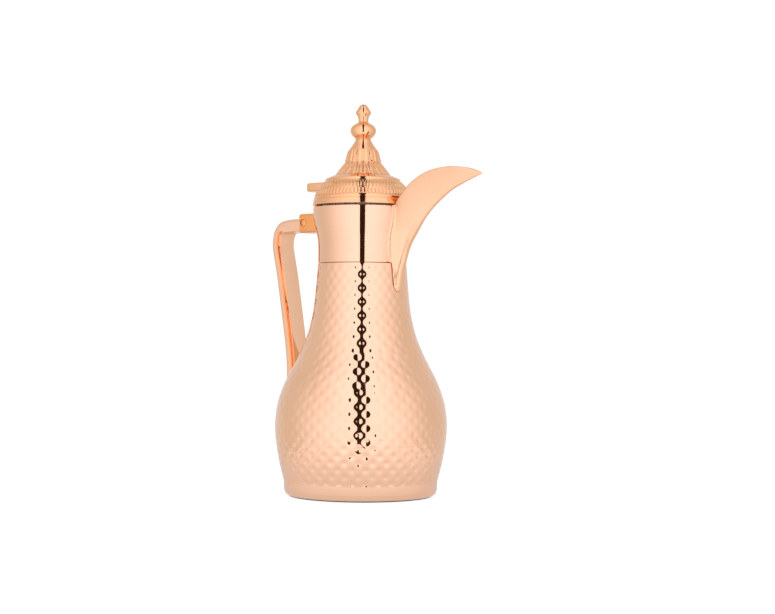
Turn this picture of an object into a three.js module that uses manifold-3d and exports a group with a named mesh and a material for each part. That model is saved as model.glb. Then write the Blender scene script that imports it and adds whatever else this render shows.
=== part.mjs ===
// A vacuum-insulated dallah (Arabic coffee pot): a glass refill in a pear-shaped metal shell, with a
// moulded collar and beak, a strap handle at the back and a hinged lid worked by a thumb lever.
// Millimetres, +Z up. The beak points along +X and the handle along -X.
import * as THREE from "three";
import { mergeVertices } from "three/addons/utils/BufferGeometryUtils.js";
import Module from "manifold-3d";

const wasm = await Module();
wasm.setup();

// ---- Driving dimensions -------------------------------------------------------------------------
const GAP = 0.3; // between pieces that touch
const TOP = 320; // tip of the finial
const SHELL_FOOT = 12.6; // lower edge of the shell
const SEAM = 188.8; // upper edge of the shell
const COLLAR_BOTTOM = 189.2;
const COLLAR_TOP = 235.1;
const LID_BOTTOM = 236.2;
const SHELL_WALL = 1;
const COLLAR_WALL = 1.8;

const PIN_BACK = 43.5; // hinge pin, behind the pot's axis
const PIN_HEIGHT = 241.5;
const PIN_RADIUS = 1;
const KNUCKLE_RADIUS = 2.7;
const EAR_INSIDE = 3.9; // the two ears of the hinge, measured across the pot
const EAR_OUTSIDE = 7;

const BRACKET_END = 63.4;
const BRACKET_LOW = 216;
const BRACKET_HIGH = 232;
const BRACKET_HALF = 8.6;
const CROSS_PIN = { back: 57.8, height: 224.4, radius: 2 };
const BRACKET_SCREW = { height: 220.5, side: 5 };

const STRAP_HALF = 8.6; // half the width of the handle
const STRAP_DEPTH = 5.4; // the outer strap
const INSERT_DEPTH = 10.6; // strap and insert together
const TONGUE = { back: 50.5, half: 5, low: 219.2, high: 227.6 };
const LOWER_SCREW = 78; // height of the screw that holds the handle's lower end

const LEVER_END = 59.3;
const LEVER_LOW = 250.6;
const LEVER_HIGH = 257.7;
const LEVER_HALF = 6.5;
const LEVER_SCREW_BACK = 26;
const LEVER_TONGUE_HIGH = 253.6;

const FRONT_HALF = 11.6; // half the width of the beak's flange in the collar
const BEAK_WALL = 1.8;
const SLOT_HALF = 5.5; // half the width of the pouring slot
const SLOT_LOW = 214.5;
const LINER_SCREW_CIRCLE = 35;

const ROUND = 30; // sides of the large turned pieces
const INNER = 20; // sides of the hidden turned pieces
const SMALL = 10; // sides of pins and screws

// ---- Outlines of revolution: [radius, height] ---------------------------------------------------
const SHELL_POINTS = [
  [62.8, 12.6], [66.8, 28.8], [69.7, 47], [70.1, 62], [67.4, 78.4], [61.1, 95],
  [52.3, 112], [45, 129], [40.2, 148.3], [38, 167.5], [36.3, SEAM],
];
const COLLAR_POINTS = [
  [36.2, COLLAR_BOTTOM], [36.2, 200], [36.8, 209.5], [38.8, 218.2], [40.3, 226.5], [40.7, COLLAR_TOP],
];
const OUTER_GLASS_POINTS = [
  [30, 19.5], [50, 30], [60.4, 50], [60.8, 63], [57, 80], [48.6, 98], [40.3, 117], [32.4, 139],
  [28, 165], [26.6, 199.5],
];
const INNER_GLASS_POINTS = [
  [26, 27], [45, 37], [55.6, 52], [56, 63], [52.4, 79], [44.2, 96], [36, 115], [28, 138],
  [22.8, 164], [21.3, 199.5],
];
const BAND_POINTS = [[39.4, 243.5], [37.6, 247.8], [34.9, 252.3], [30.8, 255.8]];
const BAND_INSIDE = [[29, 254.4], [33.5, 250.2], [36.2, 246.6], [38.2, 241.6]];
const BEAK_RIM = [
  [40, 235.6], [47, 244.4], [57, 253.5], [72, 260.8], [90, 263.5], [107, 261.9], [120.5, 257.2],
];
const BEAK_KEEL = [
  [45, 190], [48.5, 200.8], [55.5, 211.8], [68, 227.6], [87, 242.6], [104.5, 250.8], [120.9, 256.2],
];
const RIM_HALF = [8.5, 8.5, 8.2, 7.4, 6, 4, 0.9];
const KEEL_HALF = [3.9, 3.9, 3.8, 3.4, 2.8, 1.9, 0.5];
const HANDLE_POINTS = [
  [BRACKET_END + GAP, 228], [76, 227.7], [86.4, 225.2], [92.4, 217.7], [94.2, 207], [92.9, 198],
  [88.5, 178], [82.6, 145], [78.6, 121.5], [76.9, 106], [76.6, 95], [76.4, 83], [75.6, 69.5],
];

const smooth = (points, steps) =>
  new THREE.SplineCurve(points.map(([x, y]) => new THREE.Vector2(x, y)))
    .getPoints(steps)
    .map((p) => [p.x, p.y]);
const offset = (points, by) => points.map(([r, z]) => [r + by, z]);
const reversed = (points) => [...points].reverse();

const shellOutline = smooth(SHELL_POINTS, 11);
const collarOutline = smooth(COLLAR_POINTS, 5);

// ---- Solids -------------------------------------------------------------------------------------
const solidOf = (geometry) => {
  const bare = geometry.index ? geometry.toNonIndexed() : geometry;
  bare.deleteAttribute("normal");
  bare.deleteAttribute("uv");
  const merged = mergeVertices(bare, 1e-4);
  return new wasm.Manifold(
    new wasm.Mesh({
      numProp: 3,
      vertProperties: merged.attributes.position.array,
      triVerts: new Uint32Array(merged.index.array),
    }),
  );
};

const geometryOf = (solid) => {
  const mesh = solid.getMesh();
  const position = new THREE.BufferAttribute(new Float32Array(mesh.vertProperties), 3);
  return new THREE.BufferGeometry()
    .setAttribute("position", position)
    .setIndex(new THREE.BufferAttribute(new Uint32Array(mesh.triVerts), 1));
};

// An outline runs anticlockwise seen with the radius to the right and the height upwards.
const turned = (outline, sides = ROUND) => {
  const points = outline.map(([r, z]) => new THREE.Vector2(r, z));
  if (outline[0][0] > 0) points.push(points[0].clone());
  return solidOf(new THREE.LatheGeometry(points, sides).rotateX(Math.PI / 2));
};

const tube = (inside, outside, low, high, sides = ROUND) =>
  turned([[inside, low], [outside, low], [outside, high], [inside, high]], sides);

const rod = (radius, low, high, sides = SMALL) =>
  turned([[0, low], [radius, low], [radius, high], [0, high]], sides);

const box = (x0, x1, y0, y1, z0, z1) =>
  solidOf(
    new THREE.BoxGeometry(x1 - x0, y1 - y0, z1 - z0)
      .translate((x0 + x1) / 2, (y0 + y1) / 2, (z0 + z1) / 2),
  );

// A plate seen from the side: an outline of [x, z] points or a Shape, y0 to y1 across the pot.
const plate = (shape, y0, y1) => {
  const depth = y1 - y0;
  const geometry = new THREE.ExtrudeGeometry(shape, { depth, bevelEnabled: false, curveSegments: 6 });
  return solidOf(geometry.rotateX(Math.PI / 2).translate(0, y1, 0));
};

const crossRod = (radius, back, height, y0, y1, sides = SMALL) => {
  const geometry = new THREE.CylinderGeometry(radius, radius, y1 - y0, sides);
  return solidOf(geometry.translate(-back, (y0 + y1) / 2, height));
};

// A rod along X, for the screws that run from the pot's inside into the handle.
const backRod = (radius, from, to, y, z) => {
  const geometry = new THREE.CylinderGeometry(radius, radius, to - from, SMALL);
  return solidOf(geometry.rotateZ(Math.PI / 2).translate(-(from + to) / 2, y, z));
};

// Joins rings of points, all of the same count and each convex, into one closed solid.
const loft = (rings) => {
  const count = rings[0].length;
  const position = rings.flat().flatMap((p) => [p.x, p.y, p.z]);
  const index = [];
  for (let i = 0; i + 1 < rings.length; i++) {
    for (let j = 0; j < count; j++) {
      const a = i * count + j;
      const b = i * count + ((j + 1) % count);
      index.push(a, b, b + count, a, b + count, a + count);
    }
  }
  const last = (rings.length - 1) * count;
  for (let j = 1; j + 1 < count; j++) {
    index.push(0, j + 1, j, last, last + j, last + j + 1);
  }
  const geometry = new THREE.BufferGeometry()
    .setAttribute("position", new THREE.Float32BufferAttribute(position, 3))
    .setIndex(index);
  const solid = solidOf(geometry);
  if (solid.volume() > 0) return solid;
  geometry.index.array.reverse();
  return solidOf(geometry);
};

// Everything inside a turned outline, grown by a gap, for trimming what rests on it.
const filled = (outline, grow = GAP) => {
  const rising = offset(outline, grow);
  return turned([[0, rising[0][1]], ...rising, [0, rising[rising.length - 1][1]]]);
};

// ---- Vessel -------------------------------------------------------------------------------------
const makeShell = () => {
  const inside = reversed(offset(shellOutline, -SHELL_WALL));
  return turned([...shellOutline, ...inside]).subtract(backRod(2.1, 60, 75, 0, LOWER_SCREW));
};

const makeFootRing = () =>
  turned([
    [52.6, 2.5], [58.4, 2.5], [58.4, 0.8], [59, 0.8], [61.4, 2.2], [62.3, 4.8],
    [62.4, 12.3], [61.2, 12.3], [61.2, 16], [59, 16], [59, 12], [52.6, 12],
  ]);

const makeAntiSlipRing = () => tube(53 + GAP, 58.4 - GAP, 0, 2.5 - GAP);

const makeBottomCap = () => {
  const cup = turned([
    [0, 4], [49, 4], [52.2, 4.6], [52.2, 12], [49.4, 12], [49.4, 6.6], [0, 6.6],
  ]);
  return cup.add(box(-38, 38, -3.2, 3.2, 1.4, 4.5));
};

const makeCushion = () =>
  turned([[8, 6.9], [27, 6.9], [27, 13], [23, 15.2], [8, 14.4]], INNER);

const makeOuterGlass = () => {
  const outside = smooth(OUTER_GLASS_POINTS, 9);
  const inside = reversed(offset(outside, -1.5)).slice(0, -1);
  const tip = [[0, 10.4], [3, 11], [3.4, 14.5], [12, 15.6]];
  return turned([...tip, ...outside, ...inside, [28.5, 21.5], [0, 17.4]], INNER);
};

const makeInnerGlass = () => {
  const outside = smooth(INNER_GLASS_POINTS, 9);
  const inside = reversed(offset(outside, -1.5)).slice(0, -1);
  const lip = [[21.8, 199.8], [26.4, 199.8], [26.6, 200.8], [25, 201.8], [21, 201.8]];
  return turned([[0, 23.6], [12, 24], ...outside, ...lip, ...inside, [24.5, 28.8], [0, 25.4]], INNER);
};

const makeNeckGasket = () => tube(20.2, 26.6, 201.8 + GAP, 205.8, INNER);

const makeNeckRing = () =>
  turned([[30.5, 176], [34.7, 176], [34.7, 188.9], [33.9, 189.1], [33.9, 200], [30.5, 200]]);

const collarRing = (half) => {
  const inside = reversed(offset(collarOutline, -COLLAR_WALL));
  const ring = turned([...collarOutline, ...inside]);
  const front = box(20, 60, -half, half, COLLAR_BOTTOM - 5, COLLAR_TOP + 5);
  return { ring, front };
};

const bracketScrewHoles = (radius) =>
  [-1, 1].map((side) => backRod(radius, 30, 48.2, side * BRACKET_SCREW.side, BRACKET_SCREW.height));

const makeCollar = () => {
  const { ring, front } = collarRing(FRONT_HALF + GAP / 2);
  return bracketScrewHoles(1.8).reduce((solid, hole) => solid.subtract(hole), ring.subtract(front));
};

const makeFunnel = () => {
  const funnel = turned([
    [17.3, 196], [19.3, 196], [19.3, 206.1], [26.5, 206.1], [26.5, 210], [37.4, 229.5], [37.4, COLLAR_TOP],
    [35.4, COLLAR_TOP], [35.4, 230.5], [24.5, 212.2], [22, 209.6], [17.3, 209.2],
  ]);
  return funnel.subtract(box(24, 42, -SLOT_HALF, SLOT_HALF, SLOT_LOW, COLLAR_TOP + 2));
};

// ---- Beak: a fanned row of sections from the rim down to the keel --------------------------------
const beakSection = ([rimX, rimZ], [keelX, keelZ], rimHalf, keelHalf) => {
  const at = (share, y) =>
    new THREE.Vector3(keelX + (rimX - keelX) * share, y, keelZ + (rimZ - keelZ) * share);
  const side = (sign) => [
    at(0.02, sign * keelHalf * 0.6),
    at(0.07, sign * keelHalf),
    at(0.5, sign * (rimHalf * 0.72 + keelHalf * 0.28)),
    at(1, sign * rimHalf),
  ];
  return [at(0, 0), ...side(1), ...reversed(side(-1))];
};

const beakSolid = (wall) => {
  const steps = 10;
  const rim = smooth(BEAK_RIM, steps);
  const keel = smooth(BEAK_KEEL, steps);
  const halves = (list) => smooth(list.map((half, i) => [i, half]), steps).map((p) => p[1]);
  const rimHalves = halves(RIM_HALF);
  const keelHalves = halves(KEEL_HALF);
  const last = wall > 0 ? steps - 2 : steps;
  const rings = [];
  for (let i = 0; i <= last; i++) {
    const [keelX, keelZ] = keel[i];
    const [rimX, rimZ] = rim[i];
    const low = [keelX - wall * 0.8, keelZ + wall * 1.2];
    const high = [rimX - (wall > 0 ? 1.5 : 0), rimZ + (wall > 0 ? 3 : 0)];
    const section = beakSection(high, low, rimHalves[i] - wall, Math.max(keelHalves[i] - wall * 0.8, 0.4));
    if (i === 0) {
      const root = wall > 0 ? 30 : 37;
      const floor = wall > 0 ? 214 : keelZ;
      const lowHalf = keelHalves[i] - wall * 0.8;
      rings.push(beakSection([root, high[1]], [root, floor], rimHalves[i] - wall, lowHalf));
      if (wall > 0) continue;
    }
    rings.push(section);
  }
  return loft(rings);
};

const tailSolid = () => {
  const levels = [
    [192, 45.4, 6.6, 4], [183, 42.6, 6.2, 3.4], [172.5, 40.6, 5.7, 2.8], [168, 39.8, 4.6, 2.2],
    [165.8, 39.2, 2.4, 1.2],
  ];
  const rings = levels.map(([z, keel, half, ridge]) => {
    const wall = 37.9 + (192 - z) * 0.07;
    const side = (sign) => [[wall, sign * half], [keel - 0.9, sign * ridge], [keel, sign * ridge * 0.55]];
    return [[33, -half], [33, half], ...side(1), ...reversed(side(-1))]
      .map(([x, y]) => new THREE.Vector3(x, y, z));
  });
  return loft(rings);
};

const makeSpout = () => {
  const { ring, front } = collarRing(FRONT_HALF - GAP / 2);
  const lidPath = rod(38.8, COLLAR_TOP, 260, ROUND);
  const beak = beakSolid(0).subtract(filled(collarOutline, -0.2)).subtract(lidPath);
  const tail = tailSolid().subtract(rod(36, 150, 200, ROUND)).subtract(filled(shellOutline));
  return ring
    .intersect(front)
    .add(beak)
    .subtract(beakSolid(BEAK_WALL))
    .subtract(box(30, 43, -SLOT_HALF, SLOT_HALF, SLOT_LOW, COLLAR_TOP + 2))
    .add(tail);
};

// ---- Handle -------------------------------------------------------------------------------------
const handleSection = (curve, share, outline) => {
  const point = curve.getPoint(share);
  const tangent = curve.getTangent(share);
  return outline.map(([depth, y]) =>
    new THREE.Vector3(-(point.x + tangent.y * depth), y, point.y - tangent.x * depth));
};

const handleSweep = (outline) => {
  const curve = new THREE.SplineCurve(HANDLE_POINTS.map(([s, z]) => new THREE.Vector2(s, z)));
  const steps = 16;
  const rings = [];
  for (let i = 0; i <= steps; i++) rings.push(handleSection(curve, i / steps, outline));
  return loft(rings);
};

const bothSides = (half) => [...half, ...reversed(half).map(([depth, y]) => [depth, -y])];

const belly = filled(shellOutline, 1.5 + GAP);
const lowerScrewHole = backRod(2, 60, 74.5, 0, LOWER_SCREW);

const makeStrap = () => {
  const section = bothSides([
    [0, STRAP_HALF - 2.4], [0.8, STRAP_HALF - 0.7], [2, STRAP_HALF], [STRAP_DEPTH, STRAP_HALF],
  ]);
  const tongue = box(-64.5, -TONGUE.back, -TONGUE.half, TONGUE.half, TONGUE.low, TONGUE.high);
  const pinHole = crossRod(CROSS_PIN.radius + 0.15, CROSS_PIN.back, CROSS_PIN.height, -12, 12);
  return handleSweep(section)
    .add(tongue.subtract(insertSolid(GAP)))
    .subtract(pinHole)
    .subtract(belly)
    .subtract(lowerScrewHole);
};

const insertSolid = (grow) =>
  handleSweep(bothSides([
    [STRAP_DEPTH + GAP - grow, STRAP_HALF - 0.1 + grow],
    [7.6, STRAP_HALF - 0.8 + grow],
    [9.6, STRAP_HALF - 2.7 + grow],
    [INSERT_DEPTH + grow, STRAP_HALF - 5],
  ]));

const makeInsert = () => {
  const below = box(-100, 0, -20, 20, 0, LOWER_SCREW + 8);
  return insertSolid(0).subtract(belly).subtract(below);
};

const makeBracket = () => {
  const block = box(-BRACKET_END, -36, -BRACKET_HALF, BRACKET_HALF, BRACKET_LOW, BRACKET_HIGH);
  const ear = new THREE.Shape()
    .moveTo(-PIN_BACK + 2, BRACKET_HIGH - 2)
    .lineTo(-PIN_BACK + 2, PIN_HEIGHT + 1.8)
    .absarc(-PIN_BACK, PIN_HEIGHT, KNUCKLE_RADIUS, Math.PI / 4, Math.PI, false)
    .lineTo(-PIN_BACK - KNUCKLE_RADIUS, BRACKET_HIGH - 2);
  const ears = plate(ear, EAR_INSIDE, EAR_OUTSIDE).add(plate(ear, -EAR_OUTSIDE, -EAR_INSIDE));
  const socket = box(
    -BRACKET_END - 1, -TONGUE.back + GAP, -TONGUE.half - GAP, TONGUE.half + GAP,
    TONGUE.low - GAP, TONGUE.high + GAP,
  );
  const across = (radius, from, to) => crossRod(radius, CROSS_PIN.back, CROSS_PIN.height, from, to);
  return block
    .add(ears)
    .subtract(filled([[38, 150], ...collarOutline, [40.7, COLLAR_TOP + 0.2]]))
    .subtract(socket)
    .subtract(across(CROSS_PIN.radius + 0.15, -12, 12))
    .subtract(across(3.2, BRACKET_HALF - 1, 12))
    .subtract(across(3.2, -12, 1 - BRACKET_HALF))
    .subtract(crossRod(PIN_RADIUS + 0.15, PIN_BACK, PIN_HEIGHT, -12, 12))
    .subtract(bracketScrewHoles(1.7)[0])
    .subtract(bracketScrewHoles(1.7)[1]);
};

const makeCrossPin = () => {
  const shank = crossRod(CROSS_PIN.radius, CROSS_PIN.back, CROSS_PIN.height, -BRACKET_HALF, BRACKET_HALF);
  const head = (from, to) => crossRod(2.8, CROSS_PIN.back, CROSS_PIN.height, from, to);
  const face = BRACKET_HALF - 1 + GAP;
  return shank.add(head(face, BRACKET_HALF + 0.1)).add(head(-BRACKET_HALF - 0.1, -face));
};

const makeHingePin = () => {
  const head = (from, to) => crossRod(1.7, PIN_BACK, PIN_HEIGHT, from, to);
  return crossRod(PIN_RADIUS, PIN_BACK, PIN_HEIGHT, -EAR_OUTSIDE - 1, EAR_OUTSIDE + 1)
    .add(head(EAR_OUTSIDE + GAP, EAR_OUTSIDE + 1))
    .add(head(-EAR_OUTSIDE - 1, -EAR_OUTSIDE - GAP));
};

const makeBracketScrew = (side) => {
  const y = side * BRACKET_SCREW.side;
  return backRod(1.4, 35, 47.8, y, BRACKET_SCREW.height)
    .add(backRod(2.8, 33.6, 35.1, y, BRACKET_SCREW.height));
};

const makeFootPad = () => {
  const skin = filled(shellOutline, 1.5).subtract(filled(shellOutline));
  return skin.intersect(box(-80, -50, -6, 6, 70.5, 87)).subtract(lowerScrewHole);
};

const makeLowerScrew = () =>
  backRod(1.7, 62.5, 73.4, 0, LOWER_SCREW).add(backRod(3.4, 60.9, 62.6, 0, LOWER_SCREW));

const makeLowerWasher = () =>
  backRod(4.5, 62.9, 63.9, 0, LOWER_SCREW).subtract(backRod(2, 60, 70, 0, LOWER_SCREW));

// Three turns of wire round the hinge pin, one leg down to the bracket and one up to the lever.
class SpringCurve extends THREE.Curve {
  getPoint(t, target = new THREE.Vector3()) {
    const mean = 1.75;
    const leg = 0.2;
    const turns = 3;
    const across = 1.15;
    if (t < leg) return target.set(-PIN_BACK - mean, -across, PIN_HEIGHT - 8.8 * (1 - t / leg));
    if (t > 1 - leg) return target.set(-PIN_BACK - mean, across, PIN_HEIGHT + 8.4 * (1 - (1 - t) / leg));
    const share = (t - leg) / (1 - 2 * leg);
    const angle = Math.PI * (1 - 2 * turns * share);
    return target.set(
      -PIN_BACK + mean * Math.cos(angle),
      across * (2 * share - 1),
      PIN_HEIGHT + mean * Math.sin(angle),
    );
  }
}

const makeSpring = () => {
  const wire = new THREE.Shape().absarc(0, 0, 0.33, 0, 2 * Math.PI, false);
  return solidOf(
    new THREE.ExtrudeGeometry(wire, { steps: 56, curveSegments: 3, extrudePath: new SpringCurve() }),
  );
};

// ---- Lid ----------------------------------------------------------------------------------------
const coverOutside = [
  [41, LID_BOTTOM], [40.4, 240.8], [39.7, 241.2], [40, 242.3], ...BAND_POINTS, [30.6, 256.2], [29.4, 258.7],
  [25, 260], [20.4, 262.6], [17, 268.4], [14.7, 274.5], [13.6, 280.4], [12, 283], [8.7, 287.2], [6.3, 290.5],
];
const coverInside = [
  [1.9, 290.5], [1.9, 286.5], [6, 286], [10.5, 281], [12.4, 275], [15, 267.4], [18.6, 261.2],
  [24.6, 258.2], [28.2, 257], ...BAND_INSIDE, [39.3, LID_BOTTOM],
];

const aroundAxis = (count, radius, each) =>
  [...Array(count).keys()].map((i) => {
    const angle = (2 * Math.PI * i) / count;
    return each(radius * Math.cos(angle), radius * Math.sin(angle), i);
  });

const linerScrewSpots = aroundAxis(3, LINER_SCREW_CIRCLE, (x, y) => [x, y]);

const makeCover = () => {
  const skin = turned([...coverOutside, ...coverInside]);
  const slot = box(-45, -20, -5.3, 5.3, LEVER_LOW - GAP, LEVER_TONGUE_HIGH + GAP);
  const withBosses = linerScrewSpots.reduce(
    (solid, [x, y]) => solid.add(rod(2.6, 239.4, 246.4).translate([x, y, 0])),
    skin.subtract(slot),
  );
  return linerScrewSpots.reduce(
    (solid, [x, y]) => solid.subtract(rod(1.35, 239, 244.8).translate([x, y, 0])),
    withBosses,
  );
};

const makeFinial = () =>
  turned(
    [
      [0, 303], [1.7, 302.8], [1.7, 290.8], [6.1, 290.8], [6, 291.8], [8.8, 293.8], [10.3, 297.4],
      [9.8, 300.4], [7.2, 303], [4.4, 304.6], [3.9, 305.6], [4.4, 306.8], [4.3, 308.8], [5.9, 311.8],
      [5.6, 313.4], [3.6, 317.2], [1.8, 319.4], [0, TOP],
    ],
    INNER,
  );

const makeFinialScrew = () => rod(1.4, 284.8, 301.8).add(rod(3, 284.2, 286.1));

const makeLever = () => {
  const plan = new THREE.Shape()
    .moveTo(-33, -LEVER_HALF)
    .lineTo(-33, LEVER_HALF)
    .lineTo(-LEVER_END + LEVER_HALF, LEVER_HALF)
    .absarc(-LEVER_END + LEVER_HALF, 0, LEVER_HALF, Math.PI / 2, 1.5 * Math.PI, false);
  const tab = solidOf(
    new THREE.ExtrudeGeometry(plan, { depth: LEVER_HIGH - LEVER_LOW, bevelEnabled: false, curveSegments: 8 })
      .translate(0, 0, LEVER_LOW),
  ).subtract(turned([[0, 236], ...offset(coverOutside, GAP).slice(0, 13), [0, 274]]));
  const tongue = box(-45, -22.5, -5, 5, LEVER_LOW, LEVER_TONGUE_HIGH);
  const cheek = new THREE.Shape()
    .moveTo(-PIN_BACK + KNUCKLE_RADIUS, LEVER_LOW + 1)
    .lineTo(-PIN_BACK + KNUCKLE_RADIUS, PIN_HEIGHT)
    .absarc(-PIN_BACK, PIN_HEIGHT, KNUCKLE_RADIUS, 0, Math.PI, true)
    .lineTo(-PIN_BACK - KNUCKLE_RADIUS, LEVER_LOW + 1);
  const cheeks = plate(cheek, 1.9, EAR_INSIDE - 0.4).add(plate(cheek, 0.4 - EAR_INSIDE, -1.9));
  return tab
    .add(tongue)
    .add(cheeks)
    .subtract(crossRod(PIN_RADIUS + 0.15, PIN_BACK, PIN_HEIGHT, -12, 12))
    .subtract(rod(1.6, 240, 260).translate([-LEVER_SCREW_BACK, 0, 0]));
};

const makeLeverScrew = () =>
  rod(1.3, 242.2, 255).add(rod(2.4, LEVER_TONGUE_HIGH + GAP, 255.4)).translate([-LEVER_SCREW_BACK, 0, 0]);

const makeLiner = () => {
  const cup = turned([
    [0, 212.7], [22, 212.7], [34, 236.5], [38.2, 236.5], [38.2, 239.1], [32.4, 239.1], [20.8, 214.7],
    [0, 214.7],
  ]);
  const within = turned([[0, 213.5], [21.5, 213.5], [33, 236.5], [33, 252], [0, 252]]);
  const post = rod(3, 218, LEVER_LOW - GAP).translate([-LEVER_SCREW_BACK, 0, 0]).intersect(within);
  const postHole = rod(1.45, 242, 252).translate([-LEVER_SCREW_BACK, 0, 0]);
  const holes = linerScrewSpots.map(([x, y]) =>
    rod(1.5, 230, 245).add(rod(2.4, 230, 237.9)).translate([x, y, 0]));
  return holes.reduce((solid, hole) => solid.subtract(hole), cup.add(post).subtract(postHole));
};

const makeLinerScrew = ([x, y]) =>
  rod(1.2, 237, 244.5).add(rod(2.1, 236.6, 237.6)).translate([x, y, 0]);

const makeInsulation = () =>
  turned([[0, 215.1], [20, 215.1], [31.6, 238.9], [0, 238.9]])
    .subtract(rod(3.5, 210, 245).translate([-LEVER_SCREW_BACK, 0, 0]));

const makeSeal = () => turned([[7, 209.9], [21.4, 209.9], [21.4, 212.4], [7, 212.4]]);

const makeSealRetainer = () =>
  turned(
    [[0, 207.6], [12, 207.6], [14.5, 208.4], [14.5, 209.6], [6.6, 209.6], [6.6, 212.4], [0, 212.4]],
    INNER,
  );

// ---- Materials ----------------------------------------------------------------------------------
const roseGold = (roughness) => new THREE.MeshStandardMaterial({ color: 0xe9b48c, metalness: 1, roughness });
const plain = (color, roughness, metalness = 0) =>
  new THREE.MeshStandardMaterial({ color, roughness, metalness });

const hammered = roseGold(0.18);
const polished = roseGold(0.08);
const satin = roseGold(0.22);
const steel = plain(0xb9bcc0, 0.3, 1);
const blackPlastic = plain(0x1c1b1a, 0.5);
const ivoryPlastic = plain(0xe9e1d2, 0.45);
const silicone = plain(0xd9d5cc, 0.6);
const rubber = plain(0x232221, 0.8);
const foam = plain(0xf3f1ec, 0.95);
const silveredGlass = plain(0xcfd3d6, 0.05, 0.9);

// ---- Assembly -----------------------------------------------------------------------------------
const pot = new THREE.Group();
const add = (name, solid, material) => {
  const mesh = new THREE.Mesh(geometryOf(solid), material);
  mesh.name = name;
  pot.add(mesh);
};

add("outer_shell", makeShell(), hammered);
add("foot_ring", makeFootRing(), polished);
add("anti_slip_ring", makeAntiSlipRing(), rubber);
add("bottom_cap", makeBottomCap(), blackPlastic);
add("refill_cushion", makeCushion(), rubber);
add("outer_glass", makeOuterGlass(), silveredGlass);
add("inner_glass", makeInnerGlass(), silveredGlass);
add("neck_gasket", makeNeckGasket(), silicone);
add("neck_ring", makeNeckRing(), blackPlastic);
add("collar", makeCollar(), polished);
add("spout", makeSpout(), satin);
add("pouring_funnel", makeFunnel(), ivoryPlastic);
add("handle_bracket", makeBracket(), polished);
add("bracket_screw_left", makeBracketScrew(1), steel);
add("bracket_screw_right", makeBracketScrew(-1), steel);
add("handle_strap", makeStrap(), polished);
add("handle_insert", makeInsert(), polished);
add("handle_cross_pin", makeCrossPin(), polished);
add("handle_foot_pad", makeFootPad(), rubber);
add("handle_lower_screw", makeLowerScrew(), steel);
add("handle_lower_washer", makeLowerWasher(), steel);
add("hinge_pin", makeHingePin(), steel);
add("hinge_spring", makeSpring(), steel);
add("lid_cover", makeCover(), polished);
add("finial", makeFinial(), polished);
add("finial_screw", makeFinialScrew(), steel);
add("thumb_lever", makeLever(), polished);
add("lever_screw", makeLeverScrew(), steel);
add("lid_liner", makeLiner(), ivoryPlastic);
linerScrewSpots.forEach((spot, i) => add(`liner_screw_${i + 1}`, makeLinerScrew(spot), steel));
add("lid_insulation", makeInsulation(), foam);
add("stopper_seal", makeSeal(), silicone);
add("seal_retainer", makeSealRetainer(), ivoryPlastic);

// The frame's origin is the middle of the footprint, so the pot's axis lies a little behind it.
const bounds = new THREE.Box3().setFromObject(pot);
pot.position.x = -(bounds.min.x + bounds.max.x) / 2;

const assembly = new THREE.Group();
assembly.add(pot);

export default assembly;
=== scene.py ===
import math

import bmesh
import bpy
import numpy as np
from mathutils import Matrix, Vector


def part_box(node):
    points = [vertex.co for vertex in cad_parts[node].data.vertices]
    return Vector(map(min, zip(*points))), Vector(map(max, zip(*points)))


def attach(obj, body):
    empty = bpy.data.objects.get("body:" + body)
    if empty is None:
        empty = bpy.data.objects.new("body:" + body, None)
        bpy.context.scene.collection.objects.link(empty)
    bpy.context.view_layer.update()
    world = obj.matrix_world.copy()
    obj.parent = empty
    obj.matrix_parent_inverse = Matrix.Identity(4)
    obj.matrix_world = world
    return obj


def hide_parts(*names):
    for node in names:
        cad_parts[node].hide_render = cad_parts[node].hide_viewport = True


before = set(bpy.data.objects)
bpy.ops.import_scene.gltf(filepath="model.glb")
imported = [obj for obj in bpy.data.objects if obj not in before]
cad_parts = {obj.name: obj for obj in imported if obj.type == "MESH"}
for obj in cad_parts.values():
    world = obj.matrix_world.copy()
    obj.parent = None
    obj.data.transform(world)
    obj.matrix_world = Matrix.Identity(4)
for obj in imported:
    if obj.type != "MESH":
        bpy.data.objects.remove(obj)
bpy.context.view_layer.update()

# ---- Places taken from the frame ----
MM = 0.001


def level(node, top):
    """Height of a CAD node's lower or upper end, in millimetres."""
    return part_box(node)[1 if top else 0].z / MM


shell_low, shell_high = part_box("outer_shell")
AXIS_X = (shell_low.x + shell_high.x) / 2 / MM
SHELL_FOOT = level("outer_shell", False)
SEAM = level("outer_shell", True)
COLLAR_BOTTOM = level("collar", False)
COLLAR_TOP = level("collar", True)
LID_BOTTOM = level("lid_cover", False)
TOP = level("finial", True)
FINIAL_BOTTOM = level("finial", False)
PIN_BACK = AXIS_X - (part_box("hinge_pin")[0].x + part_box("hinge_pin")[1].x) / 2 / MM
PIN_HEIGHT = (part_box("hinge_pin")[0].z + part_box("hinge_pin")[1].z) / 2 / MM
BRACKET_END = AXIS_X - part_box("handle_bracket")[0].x / MM
BRACKET_LOW = level("handle_bracket", False)
LEVER_END = AXIS_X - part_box("thumb_lever")[0].x / MM
LEVER_HIGH = level("thumb_lever", True)

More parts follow.
